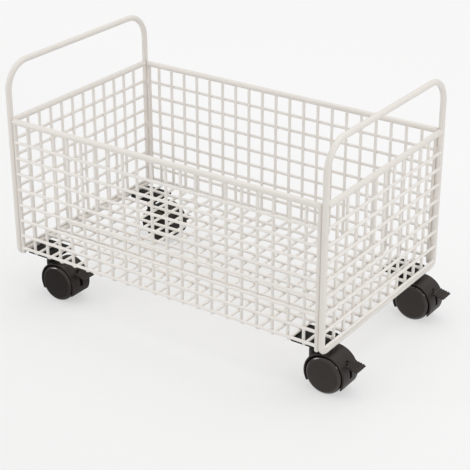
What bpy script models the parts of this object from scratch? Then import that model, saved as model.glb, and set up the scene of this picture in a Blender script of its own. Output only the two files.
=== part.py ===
# Book trolley: a wire basket with two loop handles on four twin-wheel swivel casters.
# Lengths are in metres, X runs along the basket, Y from its front to its back, Z up.
# The floor is Z = 0 and the origin is under the middle of the whole trolley.

from math import cos, pi, radians, sin, sqrt

import bmesh
import bpy
from mathutils import Matrix, Vector

# Wire basket
FRAME_WIRE = 0.0078  # diameter of the handles, posts and rails
LEG_WIRE = 0.0056  # diameter of the legs under the front and back rails
MESH_WIRE = 0.004  # diameter of the mesh wire
MESH_PITCH = 0.022  # spacing of the mesh wires, both ways
FRONT_UPRIGHTS = 20  # upright wires in the front, and in the back
END_UPRIGHTS = 11  # upright wires in each end
MESH_ROWS = 7  # level wires at full pitch under the rail
LEG_MARGIN = 0.0186  # last front upright to the leg of its frame
POST_MARGIN = 0.0297  # last end upright to the corner post
BASKET_DEPTH = 0.1843  # bottom wires up to the rail
RAIL_DROP = 0.0273  # rail down to the first level wire
HANDLE_RISE = 0.0736  # rail up to the handle bar
HANDLE_BEND = 0.035  # bend radius of the handle corners
FOOT_BEND = 0.008  # bend radius where a post turns into the bottom rail
MESH_TURN = 0.003  # size of the turn that takes an upright under the basket
MESH_STUB = 0.0013  # straight wire before and after that turn
LOW_ROW_LIFT = 0.0035  # top of that turn up to the lowest level wire
WELD_SINK = 0.0001  # how far welded wires sink into each other
CROSSING_GAP = 0.0001  # gap left where inner wires only lie against each other

# Casters
WHEEL_DIAMETER = 0.050
WHEEL_WIDTH = 0.0129
WHEEL_EDGE = 0.0036  # rounding of the outer edge of a wheel
WHEEL_LIP = 0.0008  # chamfer of the inner edge of a wheel
WHEEL_FACE = 0.0017  # wheel face that closes the axle bore
WEB_WIDTH = 0.0126  # middle wall of the hood, between the wheels
TREAD_PLAY = 0.0008  # wheel to the inside of the hood
HOOD_WALL = 0.0022
HOOD_WIDTH = 0.034
HOOD_SKIRT = 0.0135  # wheel axis down to the lower edge of the hood
TRAIL = 0.0235  # swivel axis to wheel axis
CASTER_INSET_X = 0.0275  # corner post to swivel axis, along the basket
CASTER_INSET_Y = 0.0297  # corner post to swivel axis, across the basket
PLATE_SIDE = 0.044
PLATE_THICKNESS = 0.0023
PLATE_CORNER = 0.004  # corner radius of the top plate
PLATE_CLEARANCE = 0.0075  # top of the hood to the underside of the plate
KINGPIN_SHAFT = 0.0066  # diameter that turns in the bush
KINGPIN_COLLAR = 0.008  # diameter between bush and plate
KINGPIN_RIVET = 0.006  # diameter in the plate
BUSH_WALL = 0.0012
BUSH_FLANGE = 0.0115  # diameter
BUSH_FLANGE_THICKNESS = 0.0014
BOSS_RISE = 0.022  # wheel axis up to the top of the kingpin boss
BOSS_LENGTH = 0.017
BOSS_FLOOR = 0.0015  # plastic under the kingpin
AXLE_DIAMETER = 0.006
AXLE_CHAMFER = 0.0005

# Brake lever
LEVER_WIDTH = 0.0036  # the part inside the slot
SLOT_SIDE_GAP = 0.0004  # lever to each side of the slot
SLOT_BELOW = 0.003  # wheel axis down to the lower end of the slot
SLOT_ABOVE = 0.0045  # lever pin up to the upper end of the slot
SLOT_BEHIND = 0.0045  # lever pin to the inner end of the slot
PIN_DIAMETER = 0.003
PIN_DEPTH = 0.0082  # lever pin under the surface of the hood
LEVER_EYE = 0.0032  # radius round the lever pin
PEDAL_WIDTH = 0.020
PEDAL_START = 0.0015  # inner edge of the pedal, inside the reach of the hood
PEDAL_REACH = 0.014  # tip of the pedal beyond the hood
PEDAL_LIFT = 0.0045  # inner edge of the pedal above the lever pin
PEDAL_FALL = 0.003  # drop of the pedal from its inner edge to its tip
PEDAL_THICKNESS = 0.0024
PEDAL_RIBS = 4
RIB_HEIGHT = 0.0008
RIB_WIDTH = 0.0019

CLEARANCE = 0.0003  # between pieces that touch or fit in each other

# Sides of round pieces
FRAME_SIDES = 8
MESH_SIDES = 6
BEND_STEPS = 6
WHEEL_SIDES = 24
HOOD_SIDES = 28
PIN_SIDES = 14

# Heights and half sizes that follow from the values above
WHEEL_RADIUS = WHEEL_DIAMETER / 2
POCKET_RADIUS = WHEEL_RADIUS + TREAD_PLAY
HOOD_RADIUS = POCKET_RADIUS + HOOD_WALL
PLATE_BOTTOM = WHEEL_RADIUS + HOOD_RADIUS + PLATE_CLEARANCE
PLATE_TOP = PLATE_BOTTOM + PLATE_THICKNESS
BOTTOM_Y_WIRES = PLATE_TOP + CLEARANCE + MESH_WIRE / 2
LAYER_STEP = MESH_WIRE + CROSSING_GAP
LEVEL_OUT = (FRAME_WIRE - MESH_WIRE) / 2  # level wires are flush with the outside of the frame
UPRIGHT_IN = LAYER_STEP - LEVEL_OUT  # uprights lie inside them
BOTTOM_X_WIRES = BOTTOM_Y_WIRES + LAYER_STEP
END_RAIL_HEIGHT = BOTTOM_X_WIRES - MESH_WIRE / 2 - CLEARANCE - FRAME_WIRE / 2
RAIL_HEIGHT = BOTTOM_Y_WIRES + BASKET_DEPTH
HANDLE_HEIGHT = RAIL_HEIGHT + HANDLE_RISE
ROW_HEIGHTS = [RAIL_HEIGHT - RAIL_DROP - row * MESH_PITCH for row in range(MESH_ROWS)]
LONG_ROWS = ROW_HEIGHTS + [BOTTOM_Y_WIRES + MESH_TURN + LOW_ROW_LIFT]
END_ROWS = ROW_HEIGHTS + [BOTTOM_X_WIRES + CLEARANCE]
FRONT_SPAN = (FRONT_UPRIGHTS - 1) * MESH_PITCH / 2
END_SPAN = (END_UPRIGHTS - 1) * MESH_PITCH / 2
LEG_X = FRONT_SPAN + LEG_MARGIN
POST_X = LEG_X + (LEG_WIRE + FRAME_WIRE) / 2 + 2 * CLEARANCE
POST_Y = END_SPAN + POST_MARGIN
SWIVEL_X = POST_X - CASTER_INSET_X
SWIVEL_Y = POST_Y - CASTER_INSET_Y
LEVER_TIP = HOOD_RADIUS + PEDAL_REACH
RIGHT_REACH = SWIVEL_X + TRAIL + LEVER_TIP
LEFT_REACH = POST_X + FRAME_WIRE / 2
BASKET_X = (LEFT_REACH - RIGHT_REACH) / 2
PIN_OFFSET = (HOOD_RADIUS - PIN_DEPTH) * sqrt(0.5)
CASTER_PLACES = {
    "front_left": (BASKET_X - SWIVEL_X, -SWIVEL_Y),
    "front_right": (BASKET_X + SWIVEL_X, -SWIVEL_Y),
    "back_left": (BASKET_X - SWIVEL_X, SWIVEL_Y),
    "back_right": (BASKET_X + SWIVEL_X, SWIVEL_Y),
}


def clear_scene():
    for old in list(bpy.data.objects):
        bpy.data.objects.remove(old, do_unlink=True)


def make_collection(name):
    collection = bpy.data.collections.new(name)
    bpy.context.scene.collection.children.link(collection)
    return collection


def make_material(name, colour, roughness, metallic):
    material = bpy.data.materials.new(name)
    material.use_nodes = True
    shader = material.node_tree.nodes["Principled BSDF"]
    shader.inputs["Base Color"].default_value = (*colour, 1.0)
    shader.inputs["Roughness"].default_value = roughness
    shader.inputs["Metallic"].default_value = metallic
    material.diffuse_color = (*colour, 1.0)
    return material


clear_scene()
trolley = make_collection("book_trolley")
workshop = make_collection("cutters")
cream_coat = make_material("cream_powder_coat", (0.78, 0.73, 0.68), 0.42, 0.0)
black_plastic = make_material("black_moulded_plastic", (0.03, 0.028, 0.026), 0.45, 0.0)
wheel_plastic = make_material("black_wheel_nylon", (0.022, 0.02, 0.019), 0.35, 0.0)
black_steel = make_material("black_steel_plate", (0.03, 0.03, 0.03), 0.5, 0.3)
bright_steel = make_material("zinc_steel_pin", (0.55, 0.55, 0.56), 0.3, 1.0)
bush_plastic = make_material("acetal_bush", (0.6, 0.6, 0.58), 0.4, 0.0)


def add_piece(name, mesh, material, parent=None, location=(0, 0, 0), rotation=(0, 0, 0)):
    piece = bpy.data.objects.new(name, mesh)
    trolley.objects.link(piece)
    piece.parent = parent
    piece.location = location
    piece.rotation_euler = rotation
    if not mesh.materials:
        mesh.materials.append(material)
    mesh.shade_smooth()
    mesh.set_sharp_from_angle(angle=radians(35))
    return piece


def take_mesh(helper, name):
    # The evaluated shape of a helper object as a plain mesh in world space
    bpy.context.view_layer.update()
    evaluated = helper.evaluated_get(bpy.context.evaluated_depsgraph_get())
    mesh = bpy.data.meshes.new_from_object(evaluated)
    mesh.name = name
    shape = bmesh.new()
    shape.from_mesh(mesh)
    bmesh.ops.remove_doubles(shape, verts=shape.verts, dist=0.000001)
    bmesh.ops.transform(shape, matrix=helper.matrix_world, verts=shape.verts)
    shape.to_mesh(mesh)
    shape.free()
    bpy.data.objects.remove(helper, do_unlink=True)
    return mesh


def make_helper(name, data):
    helper = bpy.data.objects.new(name, data)
    helper.hide_render = True
    helper.display_type = "WIRE"
    workshop.objects.link(helper)
    return helper


def wire_mesh(name, paths, diameter, sides, turn=0.0, closed=False):
    # One round wire along each path, with flat ends
    curve = bpy.data.curves.new(name, "CURVE")
    curve.dimensions = "3D"
    curve.bevel_depth = diameter / 2
    curve.bevel_resolution = sides // 2 - 2
    curve.use_fill_caps = True
    for path in paths:
        spline = curve.splines.new("POLY")
        spline.points.add(len(path) - 1)
        spline.use_cyclic_u = closed
        for point, place in zip(spline.points, path):
            point.co = (*place, 1.0)
            point.tilt = turn
    return take_mesh(make_helper(name, curve), name)


def bent_path(corners, bends):
    # A path of straight runs with a round bend at each corner that has a radius
    path = []
    count = len(corners)
    for index, corner in enumerate(corners):
        here = Vector(corner)
        radius = bends[index]
        if radius == 0:
            path.append(here)
            continue
        back = (Vector(corners[index - 1]) - here).normalized()
        onward = (Vector(corners[(index + 1) % count]) - here).normalized()
        centre = here + (back + onward) * radius
        for step in range(BEND_STEPS + 1):
            angle = step / BEND_STEPS * pi / 2
            path.append(centre - onward * radius * cos(angle) - back * radius * sin(angle))
    return path


def combine(name, base, changes):
    # Boolean steps on a mesh: each change is an operation and the mesh it uses
    helper = make_helper(name, base)
    tools = []
    for operation, tool_mesh in changes:
        tool = make_helper(name + "_tool", tool_mesh)
        step = helper.modifiers.new(operation.lower(), "BOOLEAN")
        step.operation = operation
        step.object = tool
        tools.append(tool)
    mesh = take_mesh(helper, name)
    for tool in tools:
        bpy.data.objects.remove(tool, do_unlink=True)
    return mesh


def cylinder(radius, start, end, sides, matrix=Matrix.Identity(4)):
    # A closed cylinder along Z from start to end, then placed by the matrix
    mesh = bpy.data.meshes.new("cylinder")
    shape = bmesh.new()
    bmesh.ops.create_cone(
        shape, cap_ends=True, segments=sides, radius1=radius, radius2=radius, depth=end - start,
        matrix=matrix @ Matrix.Translation((0, 0, (start + end) / 2)),
    )
    shape.to_mesh(mesh)
    shape.free()
    return mesh


def block(low, high):
    mesh = bpy.data.meshes.new("block")
    shape = bmesh.new()
    size = Vector(high) - Vector(low)
    middle = (Vector(high) + Vector(low)) / 2
    bmesh.ops.create_cube(shape, size=1.0, matrix=Matrix.Translation(middle) @ Matrix.Diagonal((*size, 1)))
    shape.to_mesh(mesh)
    shape.free()
    return mesh


def turned(name, profile, sides):
    # A solid of revolution about Z from radius and height pairs, listed from the top down the outside
    mesh = bpy.data.meshes.new(name)
    shape = bmesh.new()
    corners = [shape.verts.new((radius, 0, height)) for radius, height in profile]
    for upper, lower in zip(corners, corners[1:]):
        shape.edges.new((upper, lower))
    shape.to_mesh(mesh)
    shape.free()
    helper = make_helper(name, mesh)
    screw = helper.modifiers.new("turn", "SCREW")
    screw.axis = "Z"
    screw.steps = sides
    screw.render_steps = sides
    screw.use_merge_vertices = True
    screw.merge_threshold = 0.000001
    return take_mesh(helper, name)


def flat_shape(name, outline, thickness):
    # An outline in X and Z given a thickness along Y
    curve = bpy.data.curves.new(name, "CURVE")
    curve.dimensions = "2D"
    curve.fill_mode = "BOTH"
    curve.extrude = thickness / 2
    spline = curve.splines.new("POLY")
    spline.points.add(len(outline) - 1)
    spline.use_cyclic_u = True
    for point, (across, up) in zip(spline.points, outline):
        point.co = (across, up, 0.0, 1.0)
    helper = make_helper(name, curve)
    helper.rotation_euler = (pi / 2, 0, 0)
    return take_mesh(helper, name)


def spread(count, pitch):
    return [(index - (count - 1) / 2) * pitch for index in range(count)]


def border_shift(index, count):
    # The outermost wires of a mesh sit closer to the other layer and are welded to it
    return CROSSING_GAP + WELD_SINK if index in (0, count - 1) else 0.0


def welded_mesh(name, first_paths, first_turn, second_paths, second_turn):
    first = wire_mesh(name + "_first", first_paths, MESH_WIRE, MESH_SIDES, first_turn)
    second = wire_mesh(name + "_second", second_paths, MESH_WIRE, MESH_SIDES, second_turn)
    return combine(name, first, [("UNION", second)])


# A six-sided wire turned by this much has an edge where the other layer crosses it
CROSS_TURN = radians(30)


def front_or_back_mesh(name, side):
    # Uprights that turn under the basket, and level wires outside them
    plane = side * POST_Y
    top = RAIL_HEIGHT - FRAME_WIRE / 2 - CLEARANCE
    uprights = []
    for index, across in enumerate(spread(FRONT_UPRIGHTS, MESH_PITCH)):
        x = BASKET_X + across
        depth = plane - side * (UPRIGHT_IN - border_shift(index, FRONT_UPRIGHTS))
        turn_end = plane - side * (UPRIGHT_IN + MESH_TURN)
        uprights.append([
            (x, depth, top),
            (x, depth, BOTTOM_Y_WIRES + MESH_TURN + MESH_STUB),
            (x, depth, BOTTOM_Y_WIRES + MESH_TURN),
            (x, turn_end, BOTTOM_Y_WIRES),
            (x, turn_end - side * MESH_STUB, BOTTOM_Y_WIRES),
        ])
    reach = LEG_X - LEG_WIRE / 2 - CLEARANCE
    levels = []
    for index, height in enumerate(LONG_ROWS):
        depth = plane + side * (LEVEL_OUT - border_shift(index, len(LONG_ROWS)))
        levels.append([(BASKET_X - reach, depth, height), (BASKET_X + reach, depth, height)])
    return welded_mesh(name, uprights, CROSS_TURN, levels, 0.0)


def foot_inset(height):
    # How far a corner post has bent inward at a height near its foot
    over = END_RAIL_HEIGHT + FOOT_BEND - height
    return FOOT_BEND - sqrt(FOOT_BEND**2 - over**2) if over > 0 else 0.0


def end_mesh(name, side):
    # Uprights between the end rail and the bottom rail, with level wires outside them
    plane = BASKET_X + side * POST_X
    top = RAIL_HEIGHT - FRAME_WIRE / 2 - CLEARANCE
    bottom = END_RAIL_HEIGHT + FRAME_WIRE / 2 + CLEARANCE
    uprights = []
    for index, y in enumerate(spread(END_UPRIGHTS, MESH_PITCH)):
        x = plane - side * (UPRIGHT_IN - border_shift(index, END_UPRIGHTS))
        uprights.append([(x, y, bottom), (x, y, top)])
    levels = []
    for index, height in enumerate(END_ROWS):
        x = plane + side * (LEVEL_OUT - border_shift(index, len(END_ROWS)))
        reach = POST_Y - foot_inset(height - MESH_WIRE / 2) - FRAME_WIRE / 2 - CLEARANCE
        levels.append([(x, -reach, height), (x, reach, height)])
    return welded_mesh(name, uprights, 0.0, levels, 0.0)


def bottom_mesh(name):
    # Cross wires in line with the front uprights, and on them long wires in line with the end uprights
    cross_reach = POST_Y - UPRIGHT_IN - MESH_TURN - MESH_STUB - CLEARANCE
    cross_wires = []
    for index, across in enumerate(spread(FRONT_UPRIGHTS, MESH_PITCH)):
        x = BASKET_X + across
        z = BOTTOM_Y_WIRES + border_shift(index, FRONT_UPRIGHTS)
        cross_wires.append([(x, -cross_reach, z), (x, cross_reach, z)])
    long_reach = POST_X - UPRIGHT_IN - MESH_WIRE / 2 - CLEARANCE
    long_wires = []
    for index, y in enumerate(spread(END_UPRIGHTS, MESH_PITCH)):
        z = BOTTOM_X_WIRES - border_shift(index, END_UPRIGHTS)
        long_wires.append([(BASKET_X - long_reach, y, z), (BASKET_X + long_reach, y, z)])
    return welded_mesh(name, cross_wires, CROSS_TURN, long_wires, CROSS_TURN)


def end_frame(name, side):
    # Handle, two corner posts and bottom rail, bent from one wire into a closed loop
    x = BASKET_X + side * POST_X
    corners = [
        (x, -POST_Y, END_RAIL_HEIGHT),
        (x, POST_Y, END_RAIL_HEIGHT),
        (x, POST_Y, HANDLE_HEIGHT),
        (x, -POST_Y, HANDLE_HEIGHT),
    ]
    path = bent_path(corners, [FOOT_BEND, FOOT_BEND, HANDLE_BEND, HANDLE_BEND])
    return wire_mesh(name, [path], FRAME_WIRE, FRAME_SIDES, closed=True)


def end_rail(name, side):
    x = BASKET_X + side * POST_X
    reach = POST_Y - FRAME_WIRE / 2 - CLEARANCE
    path = [(x, -reach, RAIL_HEIGHT), (x, reach, RAIL_HEIGHT)]
    return wire_mesh(name, [path], FRAME_WIRE, FRAME_SIDES)


def long_frame(name, side):
    # Top rail from post to post with a thinner leg welded under each end
    y = side * POST_Y
    foot = BOTTOM_Y_WIRES - MESH_WIRE / 2
    reach = POST_X - FRAME_WIRE / 2 - CLEARANCE
    path = [(BASKET_X - reach, y, RAIL_HEIGHT), (BASKET_X + reach, y, RAIL_HEIGHT)]
    rail = wire_mesh(name, [path], FRAME_WIRE, FRAME_SIDES)
    leg_paths = []
    for end in (-1, 1):
        x = BASKET_X + end * LEG_X
        leg_paths.append([(x, y, foot), (x, y, RAIL_HEIGHT)])
    legs = wire_mesh(name + "_legs", leg_paths, LEG_WIRE, FRAME_SIDES)
    return combine(name, rail, [("UNION", legs)])


for word, side in (("left", -1), ("right", 1)):
    add_piece(word + "_end_frame", end_frame(word + "_end_frame", side), cream_coat)
    add_piece(word + "_end_rail", end_rail(word + "_end_rail", side), cream_coat)
    add_piece(word + "_end_mesh", end_mesh(word + "_end_mesh", side), cream_coat)
for word, side in (("front", -1), ("back", 1)):
    add_piece(word + "_frame", long_frame(word + "_frame", side), cream_coat)
    add_piece(word + "_mesh", front_or_back_mesh(word + "_mesh", side), cream_coat)
add_piece("bottom_mesh", bottom_mesh("bottom_mesh"), cream_coat)

# Turns a shape made along Z so that it lies along Y
ACROSS = Matrix.Rotation(pi / 2, 4, "X")


def top_plate():
    half = PLATE_SIDE / 2
    mesh = block((-half, -half, PLATE_BOTTOM), (half, half, PLATE_TOP))
    shape = bmesh.new()
    shape.from_mesh(mesh)
    corners = []
    for edge in shape.edges:
        rise = edge.verts[0].co.z - edge.verts[1].co.z
        if abs(rise) > PLATE_THICKNESS / 2:
            corners.append(edge)
    bmesh.ops.bevel(shape, geom=corners, offset=PLATE_CORNER, segments=4, profile=0.5, affect="EDGES")
    shape.to_mesh(mesh)
    shape.free()
    radius = KINGPIN_RIVET / 2 + CLEARANCE
    hole = cylinder(radius, PLATE_BOTTOM - CLEARANCE, PLATE_TOP + CLEARANCE, PIN_SIDES)
    return combine("top_plate", mesh, [("DIFFERENCE", hole)])


BOSS_TOP = WHEEL_RADIUS + BOSS_RISE
BORE_FLOOR = BOSS_TOP - BOSS_LENGTH + BOSS_FLOOR
BUSH_BORE = KINGPIN_SHAFT / 2 + CLEARANCE
BUSH_RADIUS = BUSH_BORE + BUSH_WALL
FLANGE_TOP = BOSS_TOP + CLEARANCE + BUSH_FLANGE_THICKNESS


def kingpin():
    shaft = KINGPIN_SHAFT / 2
    collar = KINGPIN_COLLAR / 2
    rivet = KINGPIN_RIVET / 2
    collar_top = PLATE_BOTTOM - CLEARANCE
    collar_bottom = FLANGE_TOP + CLEARANCE
    foot = BORE_FLOOR + 2 * CLEARANCE
    return turned("kingpin", [
        (0, PLATE_TOP), (rivet, PLATE_TOP), (rivet, collar_top), (collar, collar_top),
        (collar, collar_bottom), (shaft, collar_bottom), (shaft, foot), (0, foot),
    ], PIN_SIDES)


def swivel_bush():
    flange = BUSH_FLANGE / 2
    flange_bottom = BOSS_TOP + CLEARANCE
    foot = BORE_FLOOR + CLEARANCE
    return turned("swivel_bush", [
        (BUSH_BORE, FLANGE_TOP), (flange, FLANGE_TOP), (flange, flange_bottom),
        (BUSH_RADIUS, flange_bottom), (BUSH_RADIUS, foot), (BUSH_BORE, foot), (BUSH_BORE, FLANGE_TOP),
    ], PIN_SIDES)


def hood():
    # Half-round cover over both wheels, with a middle wall that holds axle, kingpin and lever
    at_wheel = Matrix.Translation((TRAIL, 0, WHEEL_RADIUS)) @ ACROSS
    half = HOOD_WIDTH / 2
    web = WEB_WIDTH / 2
    beyond = HOOD_WIDTH
    body = cylinder(HOOD_RADIUS, -half, half, HOOD_SIDES, at_wheel)
    boss = cylinder(web, BOSS_TOP - BOSS_LENGTH, BOSS_TOP, HOOD_SIDES)
    pocket_near = cylinder(POCKET_RADIUS, web, beyond, HOOD_SIDES, at_wheel)
    pocket_far = cylinder(POCKET_RADIUS, -beyond, -web, HOOD_SIDES, at_wheel)
    skirt_height = WHEEL_RADIUS - HOOD_SKIRT
    below = block(
        (TRAIL - 2 * HOOD_RADIUS, -beyond, -HOOD_RADIUS),
        (TRAIL + 2 * HOOD_RADIUS, beyond, skirt_height),
    )
    slot_half = LEVER_WIDTH / 2 + SLOT_SIDE_GAP
    pin_x = TRAIL + PIN_OFFSET
    pin_z = WHEEL_RADIUS + PIN_OFFSET
    slot = block(
        (pin_x - SLOT_BEHIND, -slot_half, WHEEL_RADIUS - SLOT_BELOW),
        (TRAIL + 2 * HOOD_RADIUS, slot_half, pin_z + SLOT_ABOVE),
    )
    kingpin_bore = cylinder(BUSH_RADIUS + CLEARANCE, BORE_FLOOR, BOSS_TOP + HOOD_WIDTH, PIN_SIDES)
    axle_bore = cylinder(AXLE_DIAMETER / 2 + CLEARANCE, -beyond, beyond, PIN_SIDES, at_wheel)
    at_pin = Matrix.Translation((pin_x, 0, pin_z)) @ ACROSS
    pin_bore = cylinder(PIN_DIAMETER / 2 + CLEARANCE, -beyond, beyond, PIN_SIDES, at_pin)
    return combine("hood", body, [
        ("DIFFERENCE", pocket_near), ("DIFFERENCE", pocket_far), ("UNION", boss),
        ("DIFFERENCE", below), ("DIFFERENCE", slot), ("DIFFERENCE", kingpin_bore),
        ("DIFFERENCE", axle_bore), ("DIFFERENCE", pin_bore),
    ])


def axle():
    radius = AXLE_DIAMETER / 2
    half = WEB_WIDTH / 2 + CLEARANCE + WHEEL_WIDTH - WHEEL_FACE - CLEARANCE
    shoulder = half - AXLE_CHAMFER
    tip = radius - AXLE_CHAMFER
    return turned("axle", [
        (0, half), (tip, half), (radius, shoulder), (radius, -shoulder), (tip, -half), (0, -half),
    ], PIN_SIDES)


def wheel():
    # Height 0 is the inner side of the wheel; its sides are flats, one of which stands on the floor
    corner = WHEEL_RADIUS / cos(pi / WHEEL_SIDES)
    bore = AXLE_DIAMETER / 2 + CLEARANCE
    bore_end = WHEEL_WIDTH - WHEEL_FACE
    slant = WHEEL_EDGE * (1 - sqrt(0.5))
    return turned("wheel", [
        (0, WHEEL_WIDTH), (corner - WHEEL_EDGE, WHEEL_WIDTH), (corner - slant, WHEEL_WIDTH - slant),
        (corner, WHEEL_WIDTH - WHEEL_EDGE), (corner, WHEEL_LIP), (corner - WHEEL_LIP, 0),
        (bore, 0), (bore, bore_end), (0, bore_end),
    ], WHEEL_SIDES)


def lever_pin():
    half = WEB_WIDTH / 2 - CLEARANCE
    return cylinder(PIN_DIAMETER / 2, -half, half, PIN_SIDES)


def pedal_outline():
    # Side view of the pedal from the lever pin: a sloping plate with ribs across its top
    start = HOOD_RADIUS - PEDAL_START - PIN_OFFSET
    tip = LEVER_TIP - PIN_OFFSET
    slope = -PEDAL_FALL / (tip - start)
    height = PEDAL_LIFT - RIB_HEIGHT
    outline = [(start, height - PEDAL_THICKNESS), (tip, height - PEDAL_FALL - PEDAL_THICKNESS * 0.6)]
    outline.append((tip, height - PEDAL_FALL))
    step = (tip - start) / (PEDAL_RIBS + 0.5)
    for index in range(PEDAL_RIBS):
        outer = tip - (index + 0.5) * step
        inner = outer - RIB_WIDTH
        outer_height = height + slope * (outer - start)
        inner_height = height + slope * (inner - start)
        outline += [(outer, outer_height), (outer, outer_height + RIB_HEIGHT)]
        outline += [(inner, inner_height + RIB_HEIGHT), (inner, inner_height)]
    outline.append((start, height))
    return outline


def brake_lever():
    # A narrow arm on the lever pin that carries the wide ribbed pedal
    start = HOOD_RADIUS - PEDAL_START - PIN_OFFSET
    under = PEDAL_LIFT - RIB_HEIGHT - PEDAL_THICKNESS
    arm_end = start + PEDAL_THICKNESS
    eye = [
        (LEVER_EYE * cos(radians(angle)), LEVER_EYE * sin(radians(angle))) for angle in range(90, 300, 30)
    ]
    inside = under + PEDAL_THICKNESS / 2
    outline = eye + [(arm_end, under), (arm_end, inside), (start, inside)]
    arm = flat_shape("arm", outline, LEVER_WIDTH)
    pedal = flat_shape("pedal", pedal_outline(), PEDAL_WIDTH)
    hole = cylinder(PIN_DIAMETER / 2 + CLEARANCE, -PEDAL_WIDTH, PEDAL_WIDTH, PIN_SIDES, ACROSS)
    return combine("brake_lever", arm, [("UNION", pedal), ("DIFFERENCE", hole)])


plate_mesh = top_plate()
kingpin_mesh = kingpin()
bush_mesh = swivel_bush()
hood_mesh = hood()
axle_mesh = axle()
wheel_mesh = wheel()
pin_mesh = lever_pin()
lever_mesh = brake_lever()
HALF_FLAT = pi / WHEEL_SIDES
WHEEL_INNER = WEB_WIDTH / 2 + CLEARANCE

for corner, (swivel_x, swivel_y) in CASTER_PLACES.items():
    swivel = bpy.data.objects.new(corner + "_swivel_axis", None)
    trolley.objects.link(swivel)
    swivel.location = (swivel_x, swivel_y, 0)
    wheel_centre = (TRAIL, 0, WHEEL_RADIUS)
    pin_place = (TRAIL + PIN_OFFSET, 0, WHEEL_RADIUS + PIN_OFFSET)
    add_piece(corner + "_top_plate", plate_mesh, black_steel, swivel)
    add_piece(corner + "_kingpin", kingpin_mesh, bright_steel, swivel)
    add_piece(corner + "_swivel_bush", bush_mesh, bush_plastic, swivel)
    add_piece(corner + "_hood", hood_mesh, black_plastic, swivel)
    add_piece(corner + "_axle", axle_mesh, bright_steel, swivel, wheel_centre, (pi / 2, 0, 0))
    add_piece(corner + "_lever_pin", pin_mesh, bright_steel, swivel, pin_place, (pi / 2, 0, 0))
    add_piece(corner + "_brake_lever", lever_mesh, black_plastic, swivel, pin_place)
    for word, turn in (("near_wheel", 1), ("far_wheel", -1)):
        place = (TRAIL, -turn * WHEEL_INNER, WHEEL_RADIUS)
        lying = (turn * pi / 2, HALF_FLAT, 0)
        add_piece(corner + "_" + word, wheel_mesh, wheel_plastic, swivel, place, lying)
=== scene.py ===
# Book trolley, the looks: a powder-coated wire basket on four braked twin-wheel casters
from math import cos, pi, radians, sin, sqrt

import bmesh
import bpy
from mathutils import Matrix, Quaternion, Vector


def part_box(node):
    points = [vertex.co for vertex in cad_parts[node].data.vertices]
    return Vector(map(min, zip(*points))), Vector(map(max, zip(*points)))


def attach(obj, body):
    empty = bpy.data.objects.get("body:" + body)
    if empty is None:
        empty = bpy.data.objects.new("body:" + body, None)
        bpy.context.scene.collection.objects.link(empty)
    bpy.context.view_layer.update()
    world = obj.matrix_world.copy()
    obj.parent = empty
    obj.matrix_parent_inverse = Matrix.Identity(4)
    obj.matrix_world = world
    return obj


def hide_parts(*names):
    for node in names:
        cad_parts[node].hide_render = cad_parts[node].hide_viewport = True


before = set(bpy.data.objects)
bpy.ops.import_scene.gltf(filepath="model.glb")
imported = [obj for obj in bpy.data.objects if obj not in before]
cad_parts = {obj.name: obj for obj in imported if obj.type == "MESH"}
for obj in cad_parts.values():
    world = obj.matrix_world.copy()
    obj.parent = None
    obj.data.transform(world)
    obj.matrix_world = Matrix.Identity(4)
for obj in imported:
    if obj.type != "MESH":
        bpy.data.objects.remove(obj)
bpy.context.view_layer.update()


# Shader sockets as values, so that a finish is written as an expression
class Socket:
    def __init__(self, tree, output=None):
        self.tree = tree
        self.output = output

    def fill(self, node, inputs):
        for name, value in inputs.items():
            if isinstance(value, Socket):
                self.tree.links.new(value.output, node.inputs[name])
            else:
                node.inputs[name].default_value = value

    def node(self, kind, settings, inputs, output=0):
        made = self.tree.nodes.new("ShaderNode" + kind)
        for name, value in settings.items():
            if name == "stops":  # a ramp's places and greys
                for stop, (place, grey) in zip(made.color_ramp.elements, value):
                    stop.position = place
                    stop.color = (grey, grey, grey, 1)
            else:
                setattr(made, name, value)
        self.fill(made, inputs)
        return Socket(self.tree, made.outputs[output])

    def combine(self, operation, first, second):
        return self.node("Math", {"operation": operation}, {0: first, 1: second})

    def __add__(self, other):
        return self.combine("ADD", self, other)

    def __radd__(self, other):
        return self.combine("ADD", other, self)

    def __mul__(self, other):
        return self.combine("MULTIPLY", self, other)


def startFinish(name):
    material = bpy.data.materials.new(name)
    material.use_nodes = True
    kit = Socket(material.node_tree)
    place = kit.node("TexCoord", {}, {}, "Object")
    return material, kit, place


def noise(kit, place, scale, detail, roughness=0.5):
    inputs = {"Vector": place, "Scale": scale, "Detail": detail, "Roughness": roughness}
    return kit.node("TexNoise", {}, inputs)


def raiseBumps(kit, height, strength, depth):
    return kit.node("Bump", {}, {"Strength": strength, "Distance": depth, "Height": height})


def mixColours(kit, mask, first, second):
    inputs = {0: mask, 6: (*first, 1), 7: (*second, 1)}
    return kit.node("Mix", {"data_type": "RGBA"}, inputs, 2)


def endFinish(material, kit, inputs):
    kit.fill(material.node_tree.nodes["Principled BSDF"], inputs)
    return material


# Warm off-white powder coat: faint clouds of tone, and the fine ripple of a sprayed and baked coat
creamCoat = {
    "name": "cream_mesh_coat",
    "tone": (0.875, 0.842, 0.803),
    "deeper": (0.848, 0.811, 0.768),
    "clouds": {"scale": 22.0, "detail": 3.0},
    "ripple": {"scale": 850.0, "detail": 1.0},
    "bumps": {"strength": 0.35, "depth": 0.00009},
    "roughness": 0.34,
    "uneven": 0.12,  # added roughness in the deepest clouds
}
# the thicker wires of the frame carry the same cream coat as the mesh wires, painted deeper as
# painted shade
shadedFrameCoat = {
    **creamCoat,
    "name": "cream_frame_coat_painted_shade",
    "tone": (0.808, 0.77, 0.725),
    "deeper": (0.783, 0.742, 0.693),
}


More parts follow.
